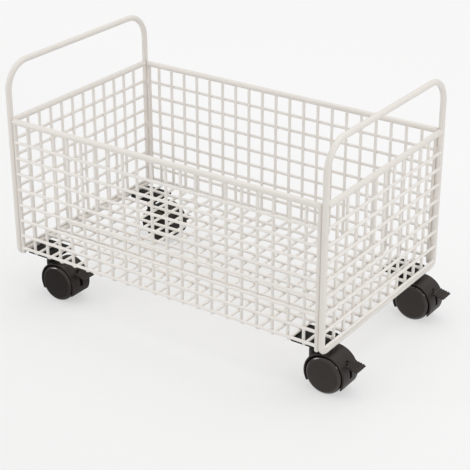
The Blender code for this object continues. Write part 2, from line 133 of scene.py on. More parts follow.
def makeCreamCoat(look):
    material, kit, place = startFinish(look["name"])
    clouds = noise(kit, place, **look["clouds"])
    ripple = noise(kit, place, **look["ripple"])
    return endFinish(material, kit, {
        "Base Color": mixColours(kit, clouds, look["tone"], look["deeper"]),
        "Roughness": look["roughness"] + clouds * look["uneven"],
        "Normal": raiseBumps(kit, ripple, **look["bumps"]),
    })


# Black moulded plastic with a fine spark-eroded grain
hoodPlastic = {
    "tone": (0.0115, 0.0085, 0.0065),
    "paler": (0.0185, 0.0142, 0.0112),
    "patches": {"scale": 65.0, "detail": 4.0},
    "grain": {"scale": 2600.0, "detail": 1.0},
    "bumps": {"strength": 0.5, "depth": 0.00006},
    "roughness": 0.4,
    "uneven": 0.14,  # added roughness on the grain's peaks
    "sheen": (1.0, 0.92, 0.86),  # tint of its highlights
}


def makeHoodPlastic(look):
    material, kit, place = startFinish("black_moulded_grain")
    patches = noise(kit, place, **look["patches"])
    grain = noise(kit, place, **look["grain"])
    return endFinish(material, kit, {
        "Base Color": mixColours(kit, patches, look["tone"], look["paler"]),
        "Roughness": look["roughness"] + grain * look["uneven"],
        "Specular Tint": (*look["sheen"], 1),
        "Normal": raiseBumps(kit, grain, **look["bumps"]),
    })


# Polished black nylon of the wheel discs, with the slow waviness of a moulded face
discNylon = {
    "name": "black_disc_nylon",
    "tone": (0.0085, 0.0062, 0.0046),
    "paler": (0.012, 0.009, 0.0068),
    "haze": {"scale": 90.0, "detail": 5.0, "roughness": 0.6},
    "waves": {"scale": 45.0, "detail": 0.0},
    "bumps": {"strength": 0.3, "depth": 0.0002},
    "roughness": 0.13,
    "uneven": 0.1,  # added roughness in the haze
    "gloss": 0.5,
    "sheen": (1.0, 0.93, 0.87),  # tint of its highlights
}
rimNylon = {**discNylon, "name": "polished_rim_nylon", "roughness": 0.08, "gloss": 0.85}


def makeDiscNylon(look):
    material, kit, place = startFinish(look["name"])
    haze = noise(kit, place, **look["haze"])
    waves = noise(kit, place, **look["waves"])
    return endFinish(material, kit, {
        "Base Color": mixColours(kit, haze, look["tone"], look["paler"]),
        "Roughness": look["roughness"] + haze * look["uneven"],
        "Specular IOR Level": look["gloss"],
        "Specular Tint": (*look["sheen"], 1),
        "Normal": raiseBumps(kit, waves, **look["bumps"]),
    })


# The running tread: the same nylon, duller and a little scuffed
treadNylon = {
    "tone": (0.012, 0.0112, 0.0105),
    "scuffed": (0.045, 0.042, 0.039),
    "speckle": {"scale": 320.0, "detail": 6.0, "roughness": 0.7},
    "scuffRamp": [(0.5, 0.0), (0.75, 1.0)],
    "bumps": {"strength": 0.4, "depth": 0.0001},
    "roughness": 0.5,
    "uneven": 0.2,  # added roughness in the scuffs
}


def makeTreadNylon(look):
    material, kit, place = startFinish("scuffed_tread_nylon")
    speckle = noise(kit, place, **look["speckle"])
    scuffs = kit.node("ValToRGB", {"stops": look["scuffRamp"]}, {"Fac": speckle})
    return endFinish(material, kit, {
        "Base Color": mixColours(kit, scuffs, look["tone"], look["scuffed"]),
        "Roughness": look["roughness"] + scuffs * look["uneven"],
        "Normal": raiseBumps(kit, speckle, **look["bumps"]),
    })


# Speckled finishes: black dip coat on plates and kingpins, bright zinc on pins, acetal bushes
speckled = {
    "speckle": {"detail": 4.0, "roughness": 0.6},
    "bumps": {"strength": 0.25, "depth": 0.00005},
    "uneven": 0.15,  # added roughness in the speckles
}
plateCoat = {
    **speckled,
    "name": "black_dip_coat",
    "tone": (0.006, 0.0055, 0.005),
    "other": (0.012, 0.011, 0.01),
    "metallic": 0.0,
    "roughness": 0.5,
    "gloss": 0.18,
    "scale": 140.0,
}
zincPlate = {
    **speckled,
    "name": "bright_zinc_plate",
    "tone": (0.56, 0.57, 0.58),
    "other": (0.47, 0.47, 0.46),
    "metallic": 1.0,
    "roughness": 0.25,
    "gloss": 0.5,
    "scale": 400.0,
}
acetalBush = {
    **speckled,
    "name": "dark_acetal",
    "tone": (0.03, 0.029, 0.028),
    "other": (0.045, 0.043, 0.041),
    "metallic": 0.0,
    "roughness": 0.35,
    "gloss": 0.5,
    "scale": 200.0,
}


def makeSpeckled(look):
    material, kit, place = startFinish(look["name"])
    speckle = noise(kit, place, look["scale"], **look["speckle"])
    return endFinish(material, kit, {
        "Base Color": mixColours(kit, speckle, look["tone"], look["other"]),
        "Metallic": look["metallic"],
        "Roughness": look["roughness"] + speckle * look["uneven"],
        "Specular IOR Level": look["gloss"],
        "Normal": raiseBumps(kit, speckle, **look["bumps"]),
    })


meshFinish = makeCreamCoat(creamCoat)
# the frame's copy of the cream coat is darker as painted shade, not a different paint
shadedFrameFinish = makeCreamCoat(shadedFrameCoat)
hoodFinish = makeHoodPlastic(hoodPlastic)
discFinish = makeDiscNylon(discNylon)
rimFinish = makeDiscNylon(rimNylon)
treadFinish = makeTreadNylon(treadNylon)
plateFinish = makeSpeckled(plateCoat)
zincFinish = makeSpeckled(zincPlate)
acetalFinish = makeSpeckled(acetalBush)
print("finishes:", len(bpy.data.materials))


# Modelling helpers, all on bmesh operators
mergeDistance = 0.000001
nearby = 0.0001  # places nearer than this count as the same
creaseAngle = 38  # edges sharper than this are shaded as creases


def pick(parts, kind):
    return [part for part in parts if isinstance(part, kind)]


def smoothMesh(mesh):
    mesh.shade_smooth()
    mesh.set_sharp_from_angle(angle=radians(creaseAngle))


def toMesh(shape, name):
    bmesh.ops.remove_doubles(shape, verts=shape.verts, dist=mergeDistance)
    bmesh.ops.recalc_face_normals(shape, faces=shape.faces)
    mesh = bpy.data.meshes.new(name)
    shape.to_mesh(mesh)
    shape.free()
    smoothMesh(mesh)
    return mesh


def addPiece(node, word, mesh, finishes, body):
    piece = bpy.data.objects.new(node + "_" + word, mesh)
    bpy.context.scene.collection.objects.link(piece)
    for finish in finishes:
        mesh.materials.append(finish)
    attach(piece, body)
    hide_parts(node)
    return piece


def layRing(shape, place, heading, radius, sides):
    turn = heading.to_track_quat("Z", "Y").to_matrix().to_4x4()
    spot = Matrix.Translation(place) @ turn
    made = bmesh.ops.create_circle(
        shape, cap_ends=False, segments=sides, radius=radius, matrix=spot
    )
    return list({edge for vert in made["verts"] for edge in vert.link_edges})


def pullRing(shape, ring, step, swell=1.0):
    made = bmesh.ops.extrude_edge_only(shape, edges=ring)["geom"]
    verts = pick(made, bmesh.types.BMVert)
    bmesh.ops.translate(shape, vec=step, verts=verts)
    if swell != 1.0:
        middle = sum((vert.co for vert in verts), Vector()) / len(verts)
        size = (swell, swell, swell)
        bmesh.ops.scale(shape, vec=size, space=Matrix.Translation(-middle), verts=verts)
    rim = set(verts)
    return [edge for edge in pick(made, bmesh.types.BMEdge) if rim.issuperset(edge.verts)]


def bendRing(shape, ring, centre, axis, steps):
    made = bmesh.ops.spin(shape, geom=ring, cent=centre, axis=axis, angle=pi / 2, steps=steps)
    return pick(made["geom_last"], bmesh.types.BMEdge)


# A wire's end is flared where it is welded to another wire, rounded or left plain;
# each step is a length in wire radii and a change of size
weldEnd = [(0.5, 1.06), (0.5, 1.12), (0.4, 1.16), (0.4, 1.0)]
roundEnd = [(0.205, 0.964), (0.18, 0.892), (0.134, 0.814), (0.071, 0.72)]
plainEnd = []


def pullEnd(shape, ring, heading, radius, end):
    for length, swell in end:
        ring = pullRing(shape, ring, heading * radius * length, swell)
    bmesh.ops.edgeloop_fill(shape, edges=ring)


def endLength(radius, end):
    return sum(length for length, swell in end) * radius


def pullWire(shape, corners, bends, wire, ends=None):
    # one round wire through the corners, with a right-angle bend of each corner's radius
    points = [Vector(corner) for corner in corners]
    heading = (points[1] - points[0]).normalized()
    radius = wire["diameter"] / 2
    here = points[0]
    if ends:
        here = here + heading * endLength(radius, ends[0])
    ring = layRing(shape, here, heading, radius, wire["sides"])
    if ends:
        pullEnd(shape, ring, -heading, radius, ends[0])
    for index in range(1, len(points)):
        corner = points[index]
        bend = bends[index]
        last = index == len(points) - 1
        stop = corner - heading * (endLength(radius, ends[1]) if ends and last else bend)
        ring = pullRing(shape, ring, stop - here)
        here = stop
        if bend and not last:
            onward = (points[index + 1] - corner).normalized()
            centre = here + onward * bend
            ring = bendRing(shape, ring, centre, heading.cross(onward), wire["bendSteps"])
            here = corner + onward * bend
            heading = onward
    if ends:
        pullEnd(shape, ring, heading, radius, ends[1])


def pullLoop(shape, corners, bends, wire):
    # a closed wire, which starts and ends in the middle of its first side
    middle = (Vector(corners[0]) + Vector(corners[1])) / 2
    stops = [middle, *corners[1:], corners[0], middle]
    pullWire(shape, stops, [0, *bends[1:], bends[0], 0], wire)


def pullStraight(shape, ends, wire, finish=(plainEnd, plainEnd)):
    # a straight wire from end to end
    pullWire(shape, ends, [0, 0], wire, finish)


def spread(count, pitch):
    return [(index - (count - 1) / 2) * pitch for index in range(count)]


# The wire basket: its planes come from the frame, its pitches and bends are listed here
frameWire = {"diameter": 0.0078, "sides": 24, "bendSteps": 16}
legWire = {"diameter": 0.0056, "sides": 20, "bendSteps": 8}
meshWire = {"diameter": 0.004, "sides": 14, "bendSteps": 6}
basket = {
    "pitch": 0.022,
    "frontUprights": 20,
    "endUprights": 11,
    "rows": 7,
    "railDrop": 0.0273,  # rail down to the first level wire
    "lowRowLift": 0.0065,  # bottom wires up to the lowest level wire
    "seatGap": 0.0003,  # caster plates to the bottom wires
    "handleBend": 0.035,
    "footBend": 0.008,
    "meshTurn": 0.0045,  # turn of an upright into a bottom wire
    "pressed": 0.0004,  # how far crossing wires are pressed into each other by the weld
    "weldDepth": 0.0006,  # how far a welded end reaches into the other wire
    "railBury": 0.5,  # an upright's end from a rail's axis, in rail radii
    "collar": (0.0015, 0.0019, 0.0026),  # weld at a level wire's end: along it, outward, upward
    "beadLength": 0.007,  # weld between leg and post, half its length
    "beadShares": (0.5, 0.45),  # its half width and half depth, in leg radii
    "beadInset": 0.7,  # leg's axis inward to the weld, in leg radii
    "beadRows": (0, 3, 6),  # level wires beside which there is one
    "weldDetail": 2,
}
frameRadius = frameWire["diameter"] / 2
legRadius = legWire["diameter"] / 2
meshRadius = meshWire["diameter"] / 2
leftLow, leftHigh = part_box("left_end_frame")
rightLow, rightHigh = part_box("right_end_frame")
frontLow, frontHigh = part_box("front_frame")
plateLow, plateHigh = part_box("front_left_top_plate")
endX = {"left": (leftLow.x + leftHigh.x) / 2, "right": (rightLow.x + rightHigh.x) / 2}
basketX = (endX["left"] + endX["right"]) / 2
postX = (endX["right"] - endX["left"]) / 2
postY = leftHigh.y - frameRadius
handleZ = leftHigh.z - frameRadius
footRailZ = leftLow.z + frameRadius
railZ = frontHigh.z - frameRadius
legX = postX - frameRadius - legRadius
legFootZ = frontLow.z
crossZ = plateHigh.z + basket["seatGap"] + meshRadius
layerStep = meshWire["diameter"] - basket["pressed"]
levelOut = frameRadius - meshRadius  # level wires are flush with the outside of the frame
uprightIn = layerStep - levelOut  # uprights lie inside them
longZ = crossZ + layerStep
rowHeights = [railZ - basket["railDrop"] - row * basket["pitch"] for row in range(basket["rows"])]
longRows = rowHeights + [crossZ + basket["lowRowLift"]]
endRows = rowHeights + [footRailZ + frameRadius + meshRadius - basket["pressed"] / 2]
frontPlaces = [basketX + offset for offset in spread(basket["frontUprights"], basket["pitch"])]
endPlaces = spread(basket["endUprights"], basket["pitch"])
# a level wire's end from a post's axis, and from a leg's axis
sideReach = sqrt(frameRadius**2 - levelOut**2) - basket["weldDepth"]
legReach = sqrt(legRadius**2 - levelOut**2) - basket["weldDepth"]
railBury = frameRadius * basket["railBury"]
# post plane to the seam under the basket
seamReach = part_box("front_mesh")[1].y + postY + basket["seatGap"] / 2


def addWeld(shape, place, size):
    spot = Matrix.Translation(place) @ Matrix.Diagonal((*size, 1))
    detail = basket["weldDetail"]
    bmesh.ops.create_icosphere(shape, subdivisions=detail, radius=1.0, matrix=spot)


def makeEndFrame(side):
    x = endX[side]
    shape = bmesh.new()
    corners = [
        (x, -postY, footRailZ), (x, postY, footRailZ), (x, postY, handleZ), (x, -postY, handleZ),
    ]
    bends = [basket["footBend"], basket["footBend"], basket["handleBend"], basket["handleBend"]]
    pullLoop(shape, corners, bends, frameWire)
    return toMesh(shape, side + "_end_frame_wire")


def makeEndRail(side):
    x = endX[side]
    shape = bmesh.new()
    reach = postY - frameRadius + basket["weldDepth"] * 2
    pullStraight(shape, [(x, -reach, railZ), (x, reach, railZ)], frameWire)
    return toMesh(shape, side + "_end_rail_wire")


def makeLongFrame(name, y):
    # the top rail with a thinner leg under each end, and welds in the groove between leg and post
    shape = bmesh.new()
    reach = postX - frameRadius
    ends = [(basketX - reach, y, railZ), (basketX + reach, y, railZ)]
    pullStraight(shape, ends, frameWire, (roundEnd, roundEnd))
    inset = legRadius * basket["beadInset"]
    inward = -inset if y > 0 else inset
    widthShare, depthShare = basket["beadShares"]
    bead = (legRadius * widthShare, legRadius * depthShare, basket["beadLength"])
    beadHeights = [rowHeights[row] for row in basket["beadRows"]] + [longRows[-1]]
    for side in (-1, 1):
        x = basketX + side * legX
        top = railZ - frameRadius + basket["weldDepth"] * 2
        pullStraight(shape, [(x, y, legFootZ), (x, y, top)], legWire, (roundEnd, plainEnd))
        for height in beadHeights:
            addWeld(shape, (x + side * legRadius, y + inward, height), bead)
    return toMesh(shape, name + "_wire")


def makeLongMesh(name, y):
    # uprights that turn under the basket, with the level wires pressed on outside
    shape = bmesh.new()
    inward = -1 if y > 0 else 1
    top = railZ - railBury
    back = y + inward * uprightIn
    under = y + inward * seamReach
    bends = [0, basket["meshTurn"], 0]
    for x in frontPlaces:
        corners = [(x, back, top), (x, back, crossZ), (x, under, crossZ)]
        pullWire(shape, corners, bends, meshWire, (plainEnd, plainEnd))
    reach = legX - legReach
    depth = y - inward * levelOut
    for height in longRows:
        ends = [(basketX - reach, depth, height), (basketX + reach, depth, height)]
        pullStraight(shape, ends, meshWire)
        for end in ends:
            addWeld(shape, end, basket["collar"])
    return toMesh(shape, name + "_wires")


def footInset(height):
    # how far a corner post has bent inward at a height near its foot
    bend = basket["footBend"]
    over = footRailZ + bend - height
    return bend - sqrt(bend**2 - over**2) if over > 0 else 0.0


def makeEndMesh(side):
    shape = bmesh.new()
    x = endX[side]
    inward = 1 if side == "left" else -1
    inside = x + inward * uprightIn
    outside = x - inward * levelOut
    along, outward, upward = basket["collar"]
    for y in endPlaces:
        ends = [(inside, y, footRailZ + railBury), (inside, y, railZ - railBury)]
        pullStraight(shape, ends, meshWire)
    for height in endRows:
        reach = postY - footInset(height) - sideReach
        ends = [(outside, -reach, height), (outside, reach, height)]
        pullStraight(shape, ends, meshWire)
        for end in ends:
            addWeld(shape, end, (outward, along, upward))
    return toMesh(shape, side + "_end_mesh_wires")


def makeBottomMesh():
    # cross wires run on from the uprights; long wires lie on them and end at the end uprights
    shape = bmesh.new()
    crossReach = postY - seamReach
    for x in frontPlaces:
        pullStraight(shape, [(x, -crossReach, crossZ), (x, crossReach, crossZ)], meshWire)
    longReach = postX - uprightIn - meshRadius + basket["weldDepth"] / 2
    for y in endPlaces:
        ends = [(basketX - longReach, y, longZ), (basketX + longReach, y, longZ)]
        pullStraight(shape, ends, meshWire, (weldEnd, weldEnd))
    return toMesh(shape, "bottom_mesh_wires")


def addFrameWire(node, mesh):
    addPiece(node, "wire", mesh, [shadedFrameFinish], "basket")


def addMeshWires(node, mesh):
    addPiece(node, "wires", mesh, [meshFinish], "basket")


for side in ("left", "right"):
    addFrameWire(side + "_end_frame", makeEndFrame(side))
    addFrameWire(side + "_end_rail", makeEndRail(side))
    addMeshWires(side + "_end_mesh", makeEndMesh(side))
for side, y in (("front", -postY), ("back", postY)):
    addFrameWire(side + "_frame", makeLongFrame(side + "_frame", y))
    addMeshWires(side + "_mesh", makeLongMesh(side + "_mesh", y))
addMeshWires("bottom_mesh", makeBottomMesh())
print("basket: wires pulled")


# Casters: every piece is made once round the front left swivel axis, then set at each corner
casterCorners = ("front_left", "front_right", "back_left", "back_right")
swivel = (plateLow + plateHigh) / 2
nearLow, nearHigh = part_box("front_left_near_wheel")
hoodLow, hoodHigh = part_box("front_left_hood")
pinLow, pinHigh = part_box("front_left_lever_pin")
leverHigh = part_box("front_left_brake_lever")[1]
kingLow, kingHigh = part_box("front_left_kingpin")
bushLow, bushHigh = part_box("front_left_swivel_bush")
axleLow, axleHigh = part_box("front_left_axle")
wheelRadius = (nearHigh.z - nearLow.z) / 2
wheelWidth = nearHigh.y - nearLow.y
wheelX = (nearLow.x + nearHigh.x) / 2 - swivel.x
wheelInner = swivel.y - nearHigh.y
hoodWidth = hoodHigh.y - hoodLow.y
pinX = (pinLow.x + pinHigh.x) / 2 - swivel.x
pinZ = (pinLow.z + pinHigh.z) / 2
across = Matrix.Rotation(-pi / 2, 4, "X")  # turns a shape made along Z to lie along Y
atAxle = Matrix.Translation((wheelX, 0, wheelRadius))
atPin = Matrix.Translation((pinX, 0, pinZ))
unmoved = Matrix.Identity(4)
roundingSegments = 6
boreSteps = 48


def bevelEdges(shape, edges, size, segments):
    bmesh.ops.bevel(
        shape, geom=edges, offset=size, segments=segments, profile=0.5, affect="EDGES", material=-1
    )


def turnOutline(shape, outline, steps, place=unmoved):
    # outline rows are radius, height and corner rounding; it is spun about Z, then placed
    verts = [shape.verts.new((radius, 0, height)) for radius, height, rounding in outline]
    for first, second in zip(verts, verts[1:]):
        shape.edges.new((first, second))
    for vert, (radius, height, rounding) in zip(verts, outline):
        if rounding:
            bmesh.ops.bevel(
                shape, geom=[vert], offset=rounding, offset_type="OFFSET",
                segments=roundingSegments, profile=0.5, affect="VERTICES", material=-1,
            )
    bmesh.ops.spin(
        shape, geom=shape.verts[:] + shape.edges[:], cent=(0, 0, 0), axis=(0, 0, 1),
        angle=2 * pi, steps=steps, use_merge=True,
    )
    bmesh.ops.remove_doubles(shape, verts=shape.verts, dist=mergeDistance)
    bmesh.ops.transform(shape, matrix=place, verts=shape.verts)


def turnedMesh(name, outline, steps, place=unmoved):
    shape = bmesh.new()
    turnOutline(shape, outline, steps, place)
    return toMesh(shape, name)


def addBox(shape, low, high):
    size = Vector(high) - Vector(low)
    middle = (Vector(high) + Vector(low)) / 2
    spot = Matrix.Translation(middle) @ Matrix.Diagonal((*size, 1))
    bmesh.ops.create_cube(shape, size=1.0, matrix=spot)


def rodMesh(name, radius, low, high, place=unmoved):
    outline = [(0, high, 0), (radius, high, 0), (radius, low, 0), (0, low, 0)]
    return turnedMesh(name, outline, boreSteps, place)


def carve(name, base, changes):
    # unions and cuts by Boolean modifiers, kept as one mesh
    held = [bpy.data.objects.new(name, base)]
    for operation, tool in changes:
        held.append(bpy.data.objects.new(name + "_tool", tool))
        step = held[0].modifiers.new(operation.lower(), "BOOLEAN")
        step.operation = operation
        step.object = held[-1]
    for thing in held:
        bpy.context.scene.collection.objects.link(thing)
    bpy.context.view_layer.update()
    carved = held[0].evaluated_get(bpy.context.evaluated_depsgraph_get())
    mesh = bpy.data.meshes.new_from_object(carved)
    for thing in held:
        bpy.data.objects.remove(thing)
    smoothMesh(mesh)
    return mesh


# Top plate: a pressed square with rounded corners and a hole for the kingpin's rivet end
topPlate = {
    "corner": 0.004,
    "cornerSegments": 8,
    "edge": 0.0004,
    "edgeSegments": 3,
    "holeGap": 0.0002,
}


def makeTopPlate():
    shape = bmesh.new()
    half = (plateHigh - plateLow) / 2
    thickness = plateHigh.z - plateLow.z
    addBox(shape, (-half.x, -half.y, plateLow.z), (half.x, half.y, plateHigh.z))

    def rises(edge):
        return abs(edge.verts[0].co.z - edge.verts[1].co.z) > half.z

    upright = [edge for edge in shape.edges if rises(edge)]
    bevelEdges(shape, upright, topPlate["corner"], topPlate["cornerSegments"])
    rims = [edge for edge in shape.edges if not rises(edge)]
    bevelEdges(shape, rims, topPlate["edge"], topPlate["edgeSegments"])
    radius = kingpin["rivet"] + topPlate["holeGap"]
    hole = rodMesh("plate_hole", radius, plateLow.z - thickness, plateHigh.z + thickness)
    return carve("top_plate", toMesh(shape, "top_plate"), [("DIFFERENCE", hole)])


# Kingpin: rivet end in the plate, collar under it, shaft in the bush
kingpin = {
    "rivet": 0.003,
    "collar": 0.004,
    "shaft": 0.0033,
    "gap": 0.0001,  # collar to the plate and to the bush
    "edge": 0.0004,
    "steps": 48,
}


def makeKingpin():
    seat = plateLow.z - kingpin["gap"]
    shoulder = bushHigh.z + kingpin["gap"]
    rivet, collar, shaft = kingpin["rivet"], kingpin["collar"], kingpin["shaft"]
    edge = kingpin["edge"]
    return turnedMesh("kingpin", [
        (0, kingHigh.z, 0), (rivet, kingHigh.z, edge), (rivet, seat, 0),
        (collar, seat, 0), (collar, shoulder, edge), (shaft, shoulder, 0),
        (shaft, kingLow.z, edge), (0, kingLow.z, 0),
    ], kingpin["steps"])


# Swivel bush: a flanged acetal sleeve
swivelBush = {
    "bore": 0.0036,
    "sleeve": 0.0048,
    "flange": 0.00575,
    "flangeThickness": 0.0014,
    "edge": 0.0003,
    "steps": 48,
}


def makeBush():
    under = bushHigh.z - swivelBush["flangeThickness"]
    bore, sleeve, flange = swivelBush["bore"], swivelBush["sleeve"], swivelBush["flange"]
    edge = swivelBush["edge"]
    return turnedMesh("swivel_bush", [
        (bore, bushHigh.z, 0), (flange, bushHigh.z, edge), (flange, under, edge),
        (sleeve, under, 0), (sleeve, bushLow.z, 0), (bore, bushLow.z, 0), (bore, bushHigh.z, 0),
    ], swivelBush["steps"])


# Hood: a moulded half-round cover with a middle wall, a kingpin boss and a slot for the lever
hood = {
    "wall": 0.0022,
    "play": 0.0008,  # wheel to the inside of the hood
    "web": 0.0126,
    "rim": 0.0008,  # rounding of the side rims
    "fillet": 0.0015,  # inside corner between wall and web
    "steps": 96,
    "bossRise": 0.022,
    "bossLength": 0.017,
    "bossEdge": 0.0008,
    "bossSteps": 64,
    "axleBore": 0.0031,
    "bushBore": 0.0049,
    "pinBore": 0.0016,
    "boreGap": 0.0002,  # bush bore below the bush, and pin bore short of the web's sides
    "slotHalf": 0.0026,
    "slotBelow": 0.003,
    "slotAbove": 0.0045,
    "slotBehind": 0.0045,
}


def makeHood():
    inner = wheelRadius + hood["play"]
    outer = inner + hood["wall"]
    half = hoodWidth / 2
    web = hood["web"] / 2
    rim, fillet, bore = hood["rim"], hood["fillet"], hood["axleBore"]
    shape = bmesh.new()
    turnOutline(shape, [
        (bore, web, 0), (inner, web, fillet), (inner, half, rim), (outer, half, rim),
        (outer, -half, rim), (inner, -half, rim), (inner, -web, fillet), (bore, -web, 0),
        (bore, web, 0),
    ], hood["steps"], atAxle @ across)
    everything = shape.verts[:] + shape.edges[:] + shape.faces[:]
    cut = bmesh.ops.bisect_plane(
        shape, geom=everything, dist=mergeDistance, plane_co=(0, 0, hoodLow.z),
        plane_no=(0, 0, -1), clear_outer=True,
    )
    edges = pick(cut["geom_cut"], bmesh.types.BMEdge)
    bmesh.ops.triangle_fill(shape, edges=edges, use_beauty=True)
    shell = toMesh(shape, "hood_shell")
    bossTop = wheelRadius + hood["bossRise"]
    bossFoot = bossTop - hood["bossLength"]
    bossEdge = hood["bossEdge"]
    boss = turnedMesh("hood_boss", [
        (0, bossTop, 0), (web, bossTop, bossEdge), (web, bossFoot, bossEdge), (0, bossFoot, 0),
    ], hood["bossSteps"])
    slotShape = bmesh.new()
    addBox(
        slotShape,
        (pinX - hood["slotBehind"], -hood["slotHalf"], wheelRadius - hood["slotBelow"]),
        (wheelX + 2 * outer, hood["slotHalf"], pinZ + hood["slotAbove"]),
    )
    slot = toMesh(slotShape, "hood_slot")
    bushFloor = bushLow.z - hood["boreGap"]
    bushBore = rodMesh("hood_bush_bore", hood["bushBore"], bushFloor, bossTop + half)
    pinEnd = web - hood["boreGap"]
    pinBore = rodMesh("hood_pin_bore", hood["pinBore"], -pinEnd, pinEnd, atPin @ across)
    return carve("hood", shell, [
        ("UNION", boss), ("DIFFERENCE", slot), ("DIFFERENCE", bushBore), ("DIFFERENCE", pinBore),
    ])


# Wheel: a polished disc face with a rounded rim over a duller tread
wheelForm = {
    # corners of the rim: in from the tread, down from the face
    "rim": [(0.0034, 0.0), (0.0012, 0.0016), (0.0, 0.004)],
    "rimRound": 0.0009,
    "dish": 0.0003,  # the face rises this much from its rim to its middle
    "lip": 0.0008,
    "bore": 0.0031,
    "face": 0.0017,  # face that closes the bore
    "steps": 96,
    "treadStart": 0.0016,
    "treadEnd": 0.0085,
    "treadShare": 0.98,  # the tread lies beyond this share of the radius
}


def makeWheel(side):
    # height 0 is the wheel's inner side
    top = wheelWidth - wheelForm["dish"]
    floor = wheelWidth - wheelForm["face"]
    outline = [(0, wheelWidth, 0)]
    for inward, drop in wheelForm["rim"]:
        outline.append((wheelRadius - inward, top - drop, wheelForm["rimRound"]))
    outline += [(wheelRadius, 0, wheelForm["lip"]), (wheelForm["bore"], 0, 0)]
    outline += [(wheelForm["bore"], floor, 0), (0, floor, 0)]
    shape = bmesh.new()
    turnOutline(shape, outline, wheelForm["steps"])
    rimStart = wheelRadius - wheelForm["rim"][0][0] - wheelForm["rimRound"]
    treadReach = wheelRadius * wheelForm["treadShare"]
    for face in shape.faces:
        middle = face.calc_center_median()
        reach = Vector((middle.x, middle.y)).length
        if reach > treadReach and wheelForm["treadStart"] < middle.z < wheelForm["treadEnd"]:
            face.material_index = 1
        elif reach > rimStart and middle.z > wheelForm["treadEnd"]:
            face.material_index = 2
    lying = Matrix.Rotation(-side * pi / 2, 4, "X")
    place = Matrix.Translation((wheelX, side * wheelInner, wheelRadius)) @ lying
    bmesh.ops.transform(shape, matrix=place, verts=shape.verts)
    return toMesh(shape, "wheel")


# Axle and lever pin: plain turned rods with broken edges
rods = {"axle": 0.003, "pin": 0.0015, "edge": 0.0004, "steps": 40}


def makeRod(name, radius, low, high, place):
    half = (high.y - low.y) / 2
    edge = rods["edge"]
    outline = [(0, half, 0), (radius, half, edge), (radius, -half, edge), (0, -half, 0)]
    return turnedMesh(name, outline, rods["steps"], place @ across)


# Brake lever: a narrow arm on its pin carries a wide ribbed pedal
brakeLever = {
    "armWidth": 0.0036,
    "eye": 0.0032,
    "eyeArc": (90, 300, 15),  # degrees, from its top round the back to its underside, and the step
    "pinBore": 0.0016,
    "pedalWidth": 0.020,
    "tuck": 0.0015,  # the pedal's inner edge inside the reach of the hood
    "lift": 0.0045,  # top of the pedal's inner edge above the pin
    "fall": 0.003,
    "thickness": 0.002,
    "tipShare": 0.6,  # the tip's thickness, as a share of the pedal's
    "ribs": 4,
    "ribHeight": 0.0012,
    "ribWidth": 0.0021,
    "ribSteps": 6,
    "edge": 0.0004,
    "edgeSegments": 3,
}


def extrudeOutline(shape, outline, width):
    # a side view in X and Z, drawn out along Y
    verts = [shape.verts.new((x, -width / 2, z)) for x, z in outline]
    face = shape.faces.new(verts)
    made = bmesh.ops.extrude_face_region(shape, geom=[face])["geom"]
    bmesh.ops.translate(shape, vec=(0, width, 0), verts=pick(made, bmesh.types.BMVert))


def pedalOutline(start, tip):
    # the sloping plate with its ribs, seen from the side, measured from the lever pin
    look = brakeLever
    height = look["lift"] - look["ribHeight"]
    slope = -look["fall"] / (tip - start)
    step = (tip - start) / (look["ribs"] + 0.5)
    tipHeight = height - look["fall"]
    outline = [(start, height - look["thickness"])]
    outline += [(tip, tipHeight - look["thickness"] * look["tipShare"]), (tip, tipHeight)]
    for index in range(look["ribs"]):
        outer = tip - (index + 0.5) * step
        for part in range(look["ribSteps"] + 1):  # a rounded hump
            x = outer - look["ribWidth"] * part / look["ribSteps"]
            hump = sin(part / look["ribSteps"] * pi) * look["ribHeight"]
            outline.append((x, height + slope * (x - start) + hump))
    outline.append((start, height))
    return outline


def makeLever():
    look = brakeLever
    start = hoodHigh.x - swivel.x - look["tuck"] - pinX
    tip = leverHigh.x - swivel.x - pinX
    pedal = bmesh.new()
    extrudeOutline(pedal, pedalOutline(start, tip), look["pedalWidth"])
    tipEdges = [
        edge for edge in pedal.edges
        if abs(edge.verts[0].co.y - edge.verts[1].co.y) >= nearby
        and edge.verts[0].co.x > tip - nearby
    ]
    bevelEdges(pedal, tipEdges, look["edge"], look["edgeSegments"])
    under = look["lift"] - look["ribHeight"] - look["thickness"]
    inside = under + look["thickness"] / 2
    eye = [
        (look["eye"] * cos(radians(angle)), look["eye"] * sin(radians(angle)))
        for angle in range(*look["eyeArc"])
    ]
    arm = bmesh.new()
    reach = start + look["thickness"]
    extrudeOutline(arm, eye + [(reach, under), (reach, inside), (start, inside)], look["armWidth"])
    hole = rodMesh("lever_hole", look["pinBore"], -hoodWidth, hoodWidth, across)
    changes = [("UNION", toMesh(pedal, "pedal")), ("DIFFERENCE", hole)]
    mesh = carve("brake_lever", toMesh(arm, "arm"), changes)
    mesh.transform(atPin)
    return mesh


axleRod = makeRod("axle", rods["axle"], axleLow, axleHigh, atAxle)
pinRod = makeRod("lever_pin", rods["pin"], pinLow, pinHigh, atPin)
wheelFinishes = [discFinish, treadFinish, rimFinish]
casterPieces = {
    "top_plate": ("pressing", makeTopPlate(), [plateFinish], "plate_black", "basket"),
    "kingpin": ("turned", makeKingpin(), [plateFinish], "plate_black", "basket"),
    "swivel_bush": ("sleeve", makeBush(), [acetalFinish], "bush_acetal", "caster"),
    "hood": ("moulding", makeHood(), [hoodFinish], "hood_black", "caster"),
    "axle": ("rod", axleRod, [zincFinish], "pin_steel", "caster"),
    "lever_pin": ("rod", pinRod, [zincFinish], "pin_steel", "caster"),
    "near_wheel": ("moulding", makeWheel(-1), wheelFinishes, "wheel_black", "near_wheel"),
    "far_wheel": ("moulding", makeWheel(1), wheelFinishes, "wheel_black", "far_wheel"),
    "brake_lever": ("moulding", makeLever(), [hoodFinish], "hood_black", "brake_lever"),
}
